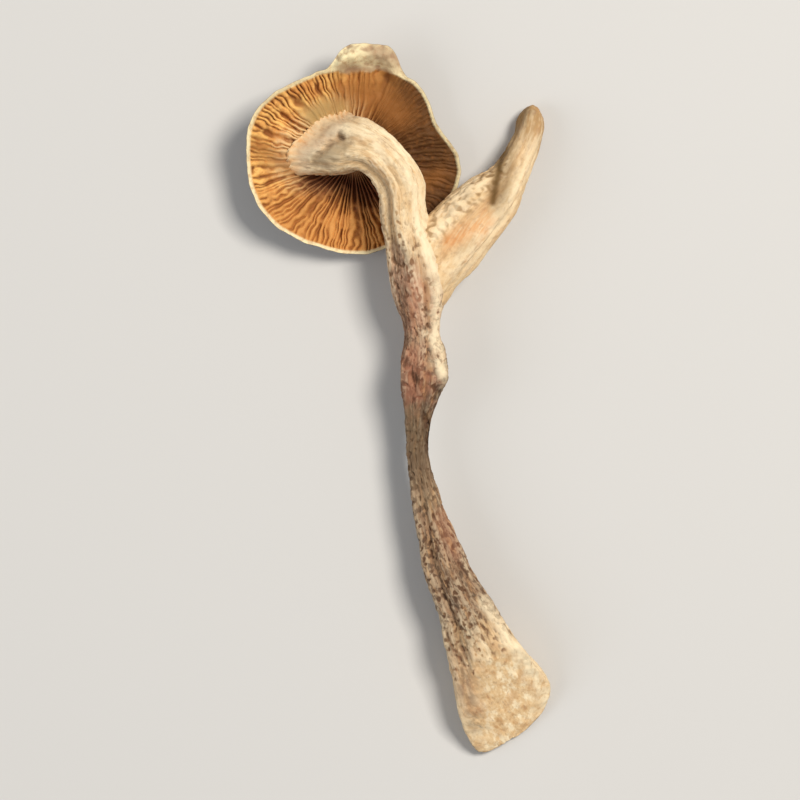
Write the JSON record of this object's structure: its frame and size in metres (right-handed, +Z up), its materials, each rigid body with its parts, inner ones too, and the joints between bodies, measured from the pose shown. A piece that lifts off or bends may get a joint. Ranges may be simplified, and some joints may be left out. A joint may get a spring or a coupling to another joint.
{
  "type": "dried deer antler mushroom",
  "caption": "Dried forked mushroom lying flat: flared cut foot, thin neck, a side branch like an antler tine, and a bent top that carries a small gilled cap.",
  "frame": {"origin": "on the surface that the mushroom lies on, under the middle of its box", "axes": "+Y from the cut foot towards the cap, +Z up towards the gills, +X to the side branch's side"},
  "size_m": [0.0254, 0.0588, 0.0073],
  "materials": {
    "cap_flesh": "dry matt, orange-brown gills with a pale margin and a grey-brown skin",
    "stem_skin": "dry matt, wrinkled, cream to taupe with brown creases",
    "branch_skin": "dry matt, wrinkled, cream with ochre streaks"
  },
  "bodies": {
    "root": {"cap": "cap_flesh", "stem": "stem_skin", "side_branch": "branch_skin"}
  },
  "joints": []
}
